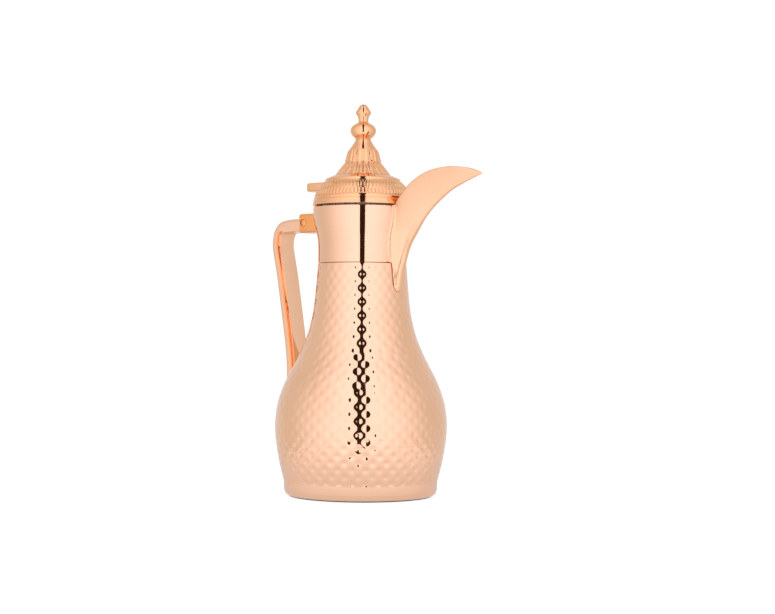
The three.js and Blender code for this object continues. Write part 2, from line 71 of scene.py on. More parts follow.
# ---- Sizes ----
SHELL_WALL = 1.0
COLLAR_WALL = 1.8
FLANGE_HALF = 11.6  # half the width of the beak's flange in the collar
BRACKET_HALF = 8.6
BRACKET_GAP = 0.3  # between the bracket and the collar
BRACKET_HIGH = 232.0
KNUCKLE_RADIUS = 2.7
EAR_INSIDE = 3.9
EAR_OUTSIDE = 7.0
CHEEK_INSIDE = 1.9  # the lever's knuckles, between the bracket's ears
CHEEK_OUTSIDE = EAR_INSIDE - 0.4
CROSS_PIN_BACK = 57.8
CROSS_PIN_HEIGHT = 224.4
STRAP_HALF = 8.6
STRAP_DEPTH = 5.4
STRAP_ROUNDING = 3.2
PAD_THICKNESS = 1.7  # keeps the handle's foot off the shell
INSERT_DEPTH = 10.6
INSERT_HALF = 8.55
LEVER_LOW = 250.6
LEVER_HALF = 6.5
BEAK_WALL = 1.8
SLOT_HALF = 5.5  # the pouring slot, through the funnel and into the beak
SLOT_LOW = 214.5
FUNNEL_TOP = COLLAR_TOP - 0.9

SHELL_POINTS = [
    (62.8, SHELL_FOOT), (66.8, 28.8), (69.7, 47), (70.1, 62), (67.4, 78.4), (61.1, 95),
    (52.3, 112), (45, 129), (40.2, 148.3), (38, 167.5), (36.3, SEAM),
]
COLLAR_POINTS = [
    (36.2, COLLAR_BOTTOM), (36.2, 200), (36.8, 209.5), (38.8, 218.2), (40.3, 226.5), (40.7, COLLAR_TOP),
]
# The beak in side view, as (x, z), with its half-widths along the way.
BEAK_RIM = [
    (40, 235.6), (47, 244.4), (57, 253.5), (72, 260.8), (90, 263.5), (107, 261.9), (120.5, 257.2),
]
BEAK_KEEL = [
    (45, 190), (48.5, 200.8), (55.5, 211.8), (68, 227.6), (87, 242.6), (104.5, 250.8), (120.9, 256.2),
]
RIM_HALF = [8.5, 8.5, 8.2, 7.4, 6, 4, 0.9]
KEEL_HALF = [3.9, 3.9, 3.8, 3.4, 2.8, 1.9, 0.5]
# Where the beak grows out of the collar: x, half-width at the keel and at the rim.
ROOT_RIBS = [(35, 7.4, 10), (37, 6.8, 9.7), (38.6, 6, 9.3), (39.6, 5.2, 8.9)]
TAIL_KEEL = [(38.4, 165.9), (39.5, 167.4), (40.6, 172.5), (42.6, 183)]
TAIL_BEAD_HALF = [2.2, 3.5, 3.9, 3.9]
BEAD_PROUD = [0.7, 1.2, 1.7, 1.9, 2.1, 1.5, 1.0, 0.3, 0, 0, 0]  # how far the bead stands off the walls
# The skirt below the beak: height, half-width at the shell, then the crease's distance and half-width.
SKIRT = [
    (172.5, 6.0, 38.9, 4.1), (183, 6.4, 40.7, 4.0), (190, 6.9, 43.0, 4.0), (196, 7.9, 45.0, 3.95),
    (203, 9.0, 48.4, 3.9),
]
TAIL_END = 165.8
# Where the bead meets the walls: distance, half-width, height.
CREASE = [
    (38.5, 3.4, 168.6), (38.9, 4.15, 172.5), (40.7, 4.05, 183), (43, 4.05, 190), (47.1, 3.95, 200),
    (54.3, 3.9, 212), (60.5, 3.8, 221),
]
GROOVE_RADIUS = 0.3
GROOVE_SUNK = 0.2  # how far the groove's middle lies below the surface
# The handle's outer edge: distance behind the axis, height.
HANDLE_POINTS = [
    (BRACKET_END - 1.5, 228), (76, 227.7), (86.4, 225.2), (92.4, 217.7), (94.2, 207), (92.9, 198),
    (88.5, 178), (82.6, 145), (78.6, 121.5), (76.9, 106), (76.6, 95), (76.4, 83), (75.6, 69.5),
]

# The lid's relief: two rings of leaves, and a ring of petals with ribs above it.
LEAVES = 72
LEAF_LOW, LEAF_MIDDLE, LEAF_HIGH = 243.9, 249.7, 255.2
LOWER_LEAF_RISE, UPPER_LEAF_RISE = 0.5, 0.44
PETALS = 18
PETAL_LOW, PETAL_MIDDLE, PETAL_WAIST, PETAL_HIGH = 261.9, 267.1, 272.4, 282.6
PETAL_AZIMUTH = -50  # degrees, where the middle of one petal is
LOBE_DEPTH, RIB_DEPTH = 1.35, 0.5

# The hammered pattern: rows of round dents, in zones going down the shell.
ROW_PITCH = 5.49
TOP_ROW = 179.3
HAMMER_ZONES = [
    # rows, dents in a row, degrees of a dent in even and in odd rows, depth, spread
    (range(-1, 12), 28, -50.0, -43.57, 0.33, 1.65),
    (range(12, 17), 32, -53.4, -46.9, 0.35, 1.7),
    (range(17, 23), 38, -46.76, -51.5, 0.36, 1.75),
    (range(23, 26), 38, -46.76, -51.5, 0.46, 1.65),
    (range(26, 31), 38, -46.76, -51.5, 0.58, 1.6),
]

# The camera, about the pot's axis. The last three are in picture widths.
CAMERA_AZIMUTH = 40.0
CAMERA_DISTANCE = 1326.0
CAMERA_HEIGHT = 133.3
CAMERA_ROLL = 0.45
SENSOR = 36.0
FOCAL = 2.090323
AXIS_LEFT_OF_CENTRE = 0.033226
HORIZON_BELOW_CENTRE = 0.032258


# ---- Curves ----
def spline(points, count):
    """A Catmull-Rom curve through every point, as count + 1 rows."""
    points = np.array(points, float)
    if points.ndim == 1:
        points = points[:, None]
    last = len(points) - 1
    place = np.linspace(0, last, count + 1)
    start = np.minimum(place.astype(int), last - 1)
    t = (place - start)[:, None]
    p0 = points[np.maximum(start - 1, 0)]
    p1 = points[start]
    p2 = points[start + 1]
    p3 = points[np.minimum(start + 2, last)]
    p0 = np.where((start == 0)[:, None], p1, p0)
    v0 = (p2 - p0) / 2
    v1 = (p3 - p1) / 2
    return (2 * p1 - 2 * p2 + v0 + v1) * t**3 + (3 * p2 - 3 * p1 - 2 * v0 - v1) * t**2 + v0 * t + p1


def evened(points, step):
    """The same polyline with points about one step apart."""
    points = np.array(points, float)
    length = np.concatenate([[0], np.cumsum(np.linalg.norm(np.diff(points, axis=0), axis=1))])
    count = max(2, round(length[-1] / step))
    at = np.linspace(0, length[-1], count + 1)
    return np.stack([np.interp(at, length, points[:, i]) for i in range(points.shape[1])], 1)


def normals(line):
    """Unit normals of an outline that rises, pointing away from the axis."""
    along = np.gradient(np.array(line, float), axis=0)
    outward = np.stack([along[:, 1], -along[:, 0]], 1)
    return outward / np.linalg.norm(outward, axis=1)[:, None]


def offset(line, by):
    return np.array(line, float) + normals(line) * by


def rounded(corners, steps=4):
    """A closed outline of (r, z) or (r, z, fillet) corners, with the fillets drawn as curves."""
    line = []
    count = len(corners)
    for i, corner in enumerate(corners):
        here = np.array(corner[:2], float)
        fillet = corner[2] if len(corner) > 2 else 0
        if not fillet:
            line.append(here)
            continue
        back = np.array(corners[i - 1][:2], float) - here
        on = np.array(corners[(i + 1) % count][:2], float) - here
        reach = min(np.linalg.norm(back), np.linalg.norm(on)) * 0.49
        back, on = back / np.linalg.norm(back), on / np.linalg.norm(on)
        half = math.acos(np.clip(back @ on, -1, 1)) / 2
        run = min(fillet / math.tan(half), reach)
        for k in range(steps + 1):
            t = k / steps
            a, b = here + back * run, here + on * run
            line.append(a * (1 - t) ** 2 + here * 2 * t * (1 - t) + b * t**2)
    return np.array(line)


def smoothstep(low, high, x):
    t = np.clip((x - low) / (high - low), 0, 1)
    return t * t * (3 - 2 * t)


def around(count):
    """Evenly spaced angles round a full turn."""
    return np.arange(count) * 2 * math.pi / count


def polar(radius, height, angle):
    return np.stack([radius * np.cos(angle), radius * np.sin(angle), height + 0 * angle], -1)


# ---- Meshes ----
def new_object(name, points, faces, sharp=None):
    """A smooth-shaded mesh from points in millimetres about the axis. Points that coincide are merged."""
    points = np.array(points, float).reshape(-1, 3)
    points[:, 0] += AXIS_X
    mesh = bpy.data.meshes.new(name)
    mesh.from_pydata((points * MM).tolist(), [], faces)
    work = bmesh.new()
    work.from_mesh(mesh)
    bmesh.ops.remove_doubles(work, verts=work.verts, dist=1e-6)
    bmesh.ops.recalc_face_normals(work, faces=work.faces)
    work.to_mesh(mesh)
    work.free()
    obj = bpy.data.objects.new(name, mesh)
    bpy.context.collection.objects.link(obj)
    return shaded(obj, sharp)


def shaded(obj, sharp=None):
    mesh = obj.data
    mesh.polygons.foreach_set("use_smooth", [True] * len(mesh.polygons))
    if sharp is not None:
        mesh.set_sharp_from_angle(angle=math.radians(sharp))
    return obj


def settle(obj):
    """Puts the modifiers' result into the mesh."""
    graph = bpy.context.evaluated_depsgraph_get()
    mesh = bpy.data.meshes.new_from_object(obj.evaluated_get(graph))
    obj.modifiers.clear()
    obj.data = mesh
    return obj


def combine(obj, other, operation):
    """Joins or cuts obj with another closed mesh, which is then removed."""
    modifier = obj.modifiers.new("combine", "BOOLEAN")
    modifier.object = other
    modifier.operation = operation
    modifier.solver = "MANIFOLD"
    settle(obj)
    bpy.data.objects.remove(other)
    return obj


def cut(obj, *others):
    for other in others:
        combine(obj, other, "DIFFERENCE")
    return obj


def join(obj, *others):
    for other in others:
        combine(obj, other, "UNION")
    return obj


def bevelled(obj, width, segments=3, angle=35):
    modifier = obj.modifiers.new("bevel", "BEVEL")
    modifier.width = width * MM
    modifier.segments = segments
    modifier.limit_method = "ANGLE"
    modifier.angle_limit = math.radians(angle)
    return settle(obj)


def grid_faces(rows, columns, wrap_rows, wrap_columns):
    i = np.arange(rows if wrap_rows else rows - 1)
    j = np.arange(columns if wrap_columns else columns - 1)
    a, b = np.meshgrid(i, j, indexing="ij")
    a, b = a.ravel(), b.ravel()
    a1, b1 = (a + 1) % rows, (b + 1) % columns
    return np.stack([a * columns + b, a * columns + b1, a1 * columns + b1, a1 * columns + b], 1)


def turned(name, line, sides=128, sharp=40, relief=None):
    """A closed outline of (r, z) turned about the pot's axis.

    relief(radius, height, angle) gives the points' new radius and height."""
    line = np.array(line, float)
    angle = around(sides)
    radius = np.repeat(line[:, :1], sides, 1)
    height = np.repeat(line[:, 1:], sides, 1)
    if relief is not None:
        radius, height = relief(radius, height, angle[None, :])
    on_axis = line[0, 0] < 1e-6 and line[-1, 0] < 1e-6
    faces = grid_faces(len(line), sides, not on_axis, True)
    return new_object(name, polar(radius, height, angle), faces.tolist(), sharp)


def sector(name, line, y_half, inside, columns, sharp=40):
    """The part of a turned ring that lies within, or outside, y_half of the beak's plane."""
    line = np.array(line, float)
    edge = np.arcsin(y_half / line[:, :1])
    share = np.linspace(0, 1, columns)[None, :]
    low, high = (-edge, edge) if inside else (edge, 2 * math.pi - edge)
    angle = low + (high - low) * share
    faces = grid_faces(len(line), columns, True, False).tolist()
    faces.append([i * columns for i in range(len(line))])
    faces.append([i * columns + columns - 1 for i in range(len(line))][::-1])
    return new_object(name, polar(line[:, :1], line[:, 1:], angle), faces, sharp)


def loft(name, rings, sharp=None):
    """Rings of points, all of the same count, joined into a closed tube with flat ends."""
    rings = np.array(rings, float)
    rows, columns = rings.shape[:2]
    faces = grid_faces(rows, columns, False, True).tolist()
    faces.append(list(range(columns)))
    faces.append([(rows - 1) * columns + j for j in range(columns)][::-1])
    return new_object(name, rings, faces, sharp)


def across(name, line, back, height, sides=32, sharp=40):
    """A closed outline of (r, y) turned about a line across the pot."""
    line = np.array(line, float)
    angle = around(sides)
    radius, y = line[:, :1], line[:, 1:]
    points = np.stack([radius * np.cos(angle) - back, y + 0 * angle, radius * np.sin(angle) + height], -1)
    faces = grid_faces(len(line), sides, False, True).tolist()
    return new_object(name, points, faces, sharp)


def headed_pin(name, head, back, height, sides):
    """A pin across the pot. head is the outline of one end, from the middle of its face inward."""
    return across(name, [*head, *[(r, -y) for r, y in head[::-1]]], back, height, sides, 60)


def rod(name, path, thick, sides=10):
    """A round rod along a path. thick is its radius, or the radius at each point."""
    path = np.array(path)
    along = np.gradient(path, axis=0)
    along /= np.linalg.norm(along, axis=1)[:, None]
    side = np.cross(along, [0.0, 1, 0])
    side /= np.linalg.norm(side, axis=1)[:, None]
    other = np.cross(along, side)
    rings = [
        [p + r * (s * math.cos(a) + o * math.sin(a)) for a in around(sides)]
        for p, r, s, o in zip(path, np.broadcast_to(thick, len(path)), side, other)
    ]
    return loft(name, rings)


def plate(name, outline, y0, y1):
    """A side view of (x, z) points made into a plate from y0 to y1."""
    return loft(name, [[(x, y, z) for x, z in outline] for y in (y0, y1)])


def block(name, low, high):
    (x0, y0, z0), (x1, y1, z1) = low, high
    return plate(name, [(x0, z0), (x1, z0), (x1, z1), (x0, z1)], y0, y1)


def arc(x, y, radius, start, end, steps):
    """Points on a circle, with the angles in degrees."""
    angles = np.radians(np.linspace(start, end, steps + 1))
    return [(x + radius * math.cos(a), y + radius * math.sin(a)) for a in angles]


shell_line = evened(spline(SHELL_POINTS, 400), 0.75)
collar_line = evened(spline(COLLAR_POINTS, 100), 1.2)


# ---- Materials ----
class Material:
    """A procedural Principled material, built node by node."""

    def __init__(self, name):
        self.material = bpy.data.materials.new(name)
        self.material.use_nodes = True
        self.tree = self.material.node_tree
        self.shader = self.tree.nodes["Principled BSDF"]
        self.place = self.tree.nodes.new("ShaderNodeTexCoord").outputs["Object"]

    def link(self, source, target):
        self.tree.links.new(source, target)

    def set(self, **values):
        for name, value in values.items():
            self.shader.inputs[name.replace("_", " ")].default_value = value

    def stretched(self, scale):
        mapping = self.tree.nodes.new("ShaderNodeMapping")
        mapping.inputs["Scale"].default_value = scale
        self.link(self.place, mapping.inputs["Vector"])
        return mapping.outputs["Vector"]

    def noise(self, size, detail=3.0, stretch=(1, 1, 1)):
        """Noise whose grains are about size millimetres across."""
        node = self.tree.nodes.new("ShaderNodeTexNoise")
        node.inputs["Scale"].default_value = 1 / (size * MM)
        node.inputs["Detail"].default_value = detail
        self.link(self.stretched(stretch), node.inputs["Vector"])
        return node.outputs["Fac"]

    def cells(self, size):
        node = self.tree.nodes.new("ShaderNodeTexVoronoi")
        node.inputs["Scale"].default_value = 1 / (size * MM)
        self.link(self.place, node.inputs["Vector"])
        return node.outputs["Distance"]

    def worn_edges(self, low, high):
        """From 0 on flat ground to 1 along outward edges."""
        geometry = self.tree.nodes.new("ShaderNodeNewGeometry")
        return self.spread(geometry.outputs["Pointiness"], low, high)

    def spread(self, value, low, high, new_low=0, new_high=1, kind="LINEAR"):
        """Carries the range low..high over to new_low..new_high."""
        node = self.tree.nodes.new("ShaderNodeMapRange")
        node.interpolation_type = kind
        node.inputs["From Min"].default_value = low
        node.inputs["From Max"].default_value = high
        node.inputs["To Min"].default_value = new_low
        node.inputs["To Max"].default_value = new_high
        self.link(value, node.inputs["Value"])
        return node.outputs["Result"]

    def height(self):
        node = self.tree.nodes.new("ShaderNodeSeparateXYZ")
        self.link(self.place, node.inputs[0])
        return node.outputs["Z"]

    def to_camera(self):
        return self.tree.nodes.new("ShaderNodeLightPath").outputs["Is Camera Ray"]

    def step(self, value, at, sign=1):
        """From 0 to 1 where value passes a height in millimetres, or the other way with sign -1."""
        return self.spread(value, (at - 0.3 * sign) * MM, (at + 0.3 * sign) * MM)

    def vector(self, operation, a, b=(0, 0, 0), output="Value"):
        node = self.tree.nodes.new("ShaderNodeVectorMath")
        node.operation = operation
        self.link(a, node.inputs[0])
        node.inputs[1].default_value = b
        return node.outputs[output]

    def maths(self, operation, a, b):
        node = self.tree.nodes.new("ShaderNodeMath")
        node.operation = operation
        for socket, value in zip(node.inputs, (a, b)):
            if isinstance(value, (int, float)):
                socket.default_value = value
            else:
                self.link(value, socket)
        return node.outputs["Value"]

    def mix(self, share, a, b):
        """Colour a where share is 0 and b where it is 1. Each is a colour or an output."""
        node = self.tree.nodes.new("ShaderNodeMix")
        node.data_type = "RGBA"
        self.link(share, node.inputs[0])
        for socket, value in ((node.inputs[6], a), (node.inputs[7], b)):
            if isinstance(value, tuple):
                socket.default_value = (*value, 1)
            else:
                self.link(value, socket)
        return node.outputs[2]

    def bump(self, value, depth, before=None):
        """Raises the surface by depth millimetres where value goes from 0 to 1."""
        node = self.tree.nodes.new("ShaderNodeBump")
        node.inputs["Distance"].default_value = depth * MM
        self.link(value, node.inputs["Height"])
        if before is not None:
            self.link(before, node.inputs["Normal"])
        return node.outputs["Normal"]

    def finish(self, colour, roughness, normal):
        self.link(colour, self.shader.inputs["Base Color"])
        self.link(roughness, self.shader.inputs["Roughness"])
        self.link(normal, self.shader.inputs["Normal"])
        return self.material


FROSTING = 0.18  # added to the roughness of the cast relief on the lid


def rose_gold(name, tone, deep, roughness, grain, grain_depth, polish_stretch, frosted=()):
    """Plating: slow tone changes, fine polishing streaks, a faint orange peel and paler rubbed edges.

    Each of the frosted bands, (lower height, upper height), is less polished."""
    m = Material(name)
    m.set(Metallic=1.0)
    colour = m.mix(m.spread(m.noise(26, 2), 0.35, 0.65), tone, deep)
    rubbed = m.maths("MULTIPLY", m.worn_edges(0.53, 0.62), 0.35)
    colour = m.mix(rubbed, colour, tuple(min(1, c * 1.12) for c in tone))
    streaks = m.noise(5, 4, polish_stretch)
    smudges = m.spread(m.noise(14, 4), 0.45, 0.75, 0, 0.35)
    rough = m.spread(streaks, 0.3, 0.7, *roughness)
    rough = m.maths("ADD", rough, m.maths("MULTIPLY", smudges, roughness[0]))
    for band_low, band_high in frosted:
        height = m.height()
        within = m.maths("MULTIPLY", m.step(height, band_low), m.step(height, band_high, -1))
        rough = m.maths("ADD", rough, m.maths("MULTIPLY", within, FROSTING))
    peel = m.bump(m.noise(grain, 2), grain_depth)
    normal = m.bump(streaks, grain_depth * 0.4, peel)
    return m.finish(colour, rough, normal)


def brushed_steel():
    m = Material("brushed_steel")
    m.set(Metallic=1.0)
    lines = m.noise(2.5, 4, (1, 12, 12))
    colour = m.mix(m.spread(m.noise(6), 0.35, 0.65), (0.6, 0.61, 0.63), (0.48, 0.49, 0.51))
    colour = m.mix(m.worn_edges(0.52, 0.6), colour, (0.74, 0.75, 0.76))
    return m.finish(colour, m.spread(lines, 0.3, 0.7, 0.2, 0.38), m.bump(lines, 0.006))


def moulded(name, tone, shade, roughness, grain, depth, worn, **settings):
    """Moulded plastic, rubber or silicone: a fine matt grain, slow shade changes and rubbed edges."""
    m = Material(name)
    m.set(**settings)
    colour = m.mix(m.spread(m.noise(9), 0.35, 0.65), tone, shade)
    colour = m.mix(m.maths("MULTIPLY", m.worn_edges(0.52, 0.6), 0.6), colour, worn)
    grains = m.noise(grain, 2)
    rough = m.spread(m.noise(4.5, 4), 0.3, 0.7, *roughness)
    return m.finish(colour, rough, m.bump(m.cells(grain * 1.5), depth * 0.5, m.bump(grains, depth)))


def silvered_glass():
    m = Material("silvered_glass")
    m.set(Metallic=0.9, Coat_Weight=0.6, Coat_Roughness=0.03)
    colour = m.mix(m.spread(m.noise(30, 4), 0.4, 0.7), (0.78, 0.79, 0.8), (0.66, 0.67, 0.7))
    rough = m.spread(m.noise(8, 5), 0.35, 0.7, 0.04, 0.12)
    return m.finish(colour, rough, m.bump(m.noise(18, 1), 0.05))


MATERIALS = {
    "hammered_shell": rose_gold(
        "hammered_rose_gold", (0.93, 0.575, 0.36), (0.91, 0.55, 0.335), (0.04, 0.075), 1.1, 0.0006,
        (1, 1, 6),
    ),
    "polished_plating": rose_gold(
        "polished_rose_gold", (0.93, 0.575, 0.36), (0.915, 0.555, 0.34), (0.03, 0.06), 1.6, 0.0004,
        (1, 1, 12),
    ),
    "cast_plating": rose_gold(
        "cast_rose_gold", (0.92, 0.5, 0.25), (0.905, 0.475, 0.225), (0.05, 0.1), 1.3, 0.0006, (1, 1, 12),
        [(PETAL_LOW - 0.4, PETAL_WAIST)],
    ),
    # The plating painted a deeper orange: a painted reflection of the orange light that bounces between the
    # collar, the bracket and the handle.
    "plating_painted_reflection": rose_gold(
        "rose_gold_painted_reflection", (0.94, 0.42, 0.15), (0.93, 0.39, 0.13), (0.06, 0.12), 1.3, 0.0008, (1, 1, 8),
    ),
    "satin_plating": rose_gold(
        "satin_rose_gold", (0.94, 0.57, 0.33), (0.925, 0.55, 0.31), (0.25, 0.34), 0.45, 0.004, (6, 1, 6),
    ),
    "steel": brushed_steel(),
    "black_plastic": moulded(
        "black_plastic", (0.012, 0.011, 0.011), (0.02, 0.019, 0.018), (0.38, 0.52), 0.35, 0.02,
        (0.06, 0.058, 0.055),
    ),
    "ivory_plastic": moulded(
        "ivory_plastic", (0.8, 0.735, 0.62), (0.76, 0.69, 0.57), (0.3, 0.44), 0.5, 0.01, (0.86, 0.82, 0.74),
        Subsurface_Weight=0.08, Subsurface_Scale=0.002,
    ),
    "silicone": moulded(
        "silicone", (0.68, 0.66, 0.62), (0.62, 0.6, 0.56), (0.45, 0.6), 0.3, 0.008, (0.78, 0.76, 0.72),
        Subsurface_Weight=0.2, Subsurface_Scale=0.003,
    ),
    "black_rubber": moulded(
        "black_rubber", (0.014, 0.013, 0.013), (0.022, 0.021, 0.02), (0.7, 0.85), 0.4, 0.03,
        (0.05, 0.048, 0.046),
    ),
    "foam": moulded(
        "foam", (0.86, 0.84, 0.79), (0.8, 0.77, 0.7), (0.85, 0.97), 0.9, 0.12, (0.9, 0.88, 0.84),
    ),
    "silvered_glass": silvered_glass(),
}


def paint(obj, slot):
    obj.data.materials.clear()
    obj.data.materials.append(MATERIALS[slot])


def piece(obj, body, slot, *nodes, look=None):
    """A finished piece with its body, slot and CAD nodes. look is its material, if it isn't the slot's."""
    paint(obj, look or slot)
    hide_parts(*nodes)
    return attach(obj, body)


# ---- Vessel ----
def hammer_depth(line, angle):
    """Depth of the dents at each point of an outline (rows) and angle (columns)."""
    depth = np.zeros((len(line), len(angle)))
    radius, height = line[:, :1], line[:, 1:]
    for rows, count, even, odd, deepest, spread in HAMMER_ZONES:
        pitch = 2 * math.pi / count
        for row in rows:
            middle = TOP_ROW - ROW_PITCH * row
            start = math.radians(odd if row % 2 else even)
            off = (angle[None, :] - start + pitch / 2) % pitch - pitch / 2
            distance = (radius * off) ** 2 + (height - middle) ** 2
            depth += deepest * np.exp(-distance / (2 * spread**2))
    return depth


def make_shell():
    sides = 560
    angle = around(sides)
    outside = shell_line
    inside = evened(offset(shell_line, -SHELL_WALL)[::-1], 9)
    inside[0, 1], inside[-1, 1] = SEAM, SHELL_FOOT
    dent = hammer_depth(outside, angle)
    dent[0], dent[-1] = 0.03, 0.25
    away = normals(outside)
    radius = outside[:, :1] - dent * away[:, :1]
    height = outside[:, 1:] - dent * away[:, 1:]
    height[0], height[-1] = SHELL_FOOT, SEAM
    radius = np.concatenate([radius, np.repeat(inside[:, :1], sides, 1)])
    height = np.concatenate([height, np.repeat(inside[:, 1:], sides, 1)])
    faces = grid_faces(len(radius), sides, True, True).tolist()
    shell = new_object("hammered_body", polar(radius, height, angle), faces, 60)
    return piece(shell, "flask", "hammered_shell", "outer_shell")


def make_foot():
    line = rounded([
        (52.6, 2.5, 0.4), (58.4, 2.5), (58.4, 0.8, 0.2), (59.2, 0.8, 0.5), (61.4, 2.3, 1.4), (62.4, 5.2, 2),
        (62.77, 12.56), (61.4, 12.56), (61.4, 16, 0.3), (59, 16, 0.3), (59, 12), (52.6, 12, 0.4),
    ], 6)
    return piece(turned("foot_band", line, 192), "flask", "polished_plating", "foot_ring")


def make_anti_slip_ring():
    def ribs(radius, height, angle):
        on_sole = (height < 1) & (radius > 54) & (radius < 57.5)
        return radius, height + 0.25 * (0.5 + 0.5 * np.cos(angle * 90)) * on_sole

    line = rounded([
        (53.3, 0, 0.5), (54.3, 0), (55, 0), (55.7, 0), (56.4, 0), (57.1, 0), (58.1, 0, 0.5),
        (58.1, 2.2, 0.3), (53.3, 2.2, 0.3),
    ])
    return piece(turned("rubber_ring", line, 720, 60, ribs), "flask", "black_rubber", "anti_slip_ring")


def make_bottom_cap():
    line = [(0, 4), *rounded([
        (44, 4), (44, 4.6, 0.4), (46, 4.6, 0.4), (46, 4), (51.4, 4, 0.8), (52.2, 5, 0.6), (52.2, 12, 0.3),
        (49.4, 12, 0.3), (49.4, 6.6, 1),
    ]), (0, 6.6)]
    cap = turned("screw_base", line, 160)
    bar = bevelled(block("grip", (-38, -3.2, 1.4), (38, 3.2, 5)), 1.2, 4)
    shaded(join(cap, bar), 40)
    return piece(cap, "flask", "black_plastic", "bottom_cap")


def make_inner_glass():
    body = spline([
        (12, 24), (26, 27), (45, 37), (55.6, 52), (56, 63), (52.4, 79), (44.2, 96), (36, 115), (28, 138),
        (22.8, 164), (21.3, 197.5),
    ], 80)
    outside = [(0, 23.6), *body, (21.8, 199.4), (26, 199.8), (26.7, 200.8), (26, 201.7), (23, 201.8)]
    inside = offset(body, -1.5)[::-1]
    line = [*outside, (20.4, 201.3), *inside, (0, 25.2)]
    return piece(turned("glass_refill", line, 96), "flask", "silvered_glass", "inner_glass")


def make_funnel():
    line = rounded([
        (17.3, 196, 0.6), (19.3, 196, 0.6), (19.3, 206.1, 0.8), (26.5, 206.1, 0.5), (26.5, 210, 2),
        (37.4, 229.5, 3), (37.4, FUNNEL_TOP, 0.8), (35.4, FUNNEL_TOP, 0.8), (35.4, 230.5, 3),
        (24.5, 212.2, 2), (22, 209.6, 1), (17.3, 209.2, 0.8),
    ], 6)
    funnel = turned("pouring_cup", line, 128)
    slot = bevelled(block("slot", (24, -SLOT_HALF, SLOT_LOW), (42, SLOT_HALF, 245)), 2, 4)
    shaded(cut(funnel, slot), 40)
    return piece(funnel, "flask", "ivory_plastic", "pouring_funnel")


def collar_section(grow=0):
    """The collar's closed outline, with its upper and lower edges rounded."""
    outside = collar_line[1:-1]
    inside = offset(collar_line, -COLLAR_WALL)[1:-1][::-1]
    edge = COLLAR_TOP - 0.35
    top = [(40.62, edge - 0.45), (40.4, edge - 0.12), (40, edge), (39.4, edge), (39, edge - 0.3)]
    low = COLLAR_BOTTOM
    foot = [(34.6, low + 0.2), (34.9, low), (35.9, low), (36.13, low + 0.2)]
    return np.array([*outside, *top, *inside, *foot]) + (grow, 0)


def make_collar():
    collar = sector("collar_ring", collar_section(), FLANGE_HALF, False, 220)
    return piece(collar, "flask", "polished_plating", "collar")


# ---- Beak ----
def beak_section(low, high, foot_half, rim_half):
    """A rib of the beak from keel to rim: a round keel, then walls that flare and straighten."""
    low, high = np.array(low, float), np.array(high, float)
    length = np.linalg.norm(high - low)
    round_end = min(foot_half, length * 0.3)
    turn = np.radians(np.linspace(0, 90, 9))
    depth = np.array([*(round_end * (1 - np.cos(turn))), *np.linspace(round_end, length, 15)[1:]])
    flare = 1 - (1 - np.clip((depth - round_end) / (length - round_end), 0, 1)) ** 2
    half = foot_half * np.sin([*turn, *[math.pi / 2] * 14]) + (rim_half - foot_half) * flare
    along = (high - low) / length
    side = [(*(low + along * d), h) for d, h in zip(depth, half)]
    ring = [*side, *[(x, z, -h) for x, z, h in side[1:][::-1]]]
    return [(x, y, z) for x, z, y in ring]


def beak_lines():
    """The keel, rim and half-widths along the beak."""
    curves = (BEAK_KEEL, BEAK_RIM, KEEL_HALF, RIM_HALF)
    keel, rim, foot, rim_half = [spline(points, 72) for points in curves]
    return keel, rim, foot[:, 0], rim_half[:, 0]


def beak_walls():
    keel, rim, foot, rim_half = beak_lines()
    proud = np.clip(spline(BEAD_PROUD[len(TAIL_KEEL):], len(keel) - 1), 0, None)
    keel = offset(keel, -proud)
    ribs = [beak_section(k, r, max(f, 0.4), max(h, 0.6)) for k, r, f, h in zip(keel, rim, foot, rim_half)]
    low, top = keel[0][1], rim[0][1]
    roots = [beak_section((x, low), (x, top), at_keel, at_rim) for x, at_keel, at_rim in ROOT_RIBS]
    return loft("beak", [*roots, *ribs])


def beak_hollow():
    """What is open between the walls. It stops short of the tip."""
    ribs = [beak_section((30, 214), (30, BEAK_RIM[0][1] + 3), 3, RIM_HALF[0] - BEAK_WALL)]
    for k, r, f, h in list(zip(*beak_lines()))[5:-9]:
        low = (k[0] - BEAK_WALL * 0.8, k[1] + BEAK_WALL * 1.2)
        high = (r[0] - 1.5, r[1] + 3)
        ribs.append(beak_section(low, high, max(f - BEAK_WALL, 0.5), max(h - BEAK_WALL, 0.7)))
    return loft("hollow", ribs)


def make_keel_bead():
    steps = 120
    line = spline([*TAIL_KEEL, *BEAK_KEEL], steps)
    half = spline([*TAIL_BEAD_HALF, *KEEL_HALF], steps)[:, 0]
    proud = np.clip(spline(BEAD_PROUD, steps)[:, 0], 0, None)
    away = normals(line)
    rings = []
    for (x, z), (nx, nz), wide, out in zip(line, away, half, proud):
        deep = min(wide, max(out * 1.25, wide * (1 - min(out, 1) * 0.5)))
        rings.append([
            (x + nx * deep * (math.cos(a) - 1), wide * math.sin(a), z + nz * deep * (math.cos(a) - 1))
            for a in around(28)
        ])
    return loft("bead", rings)


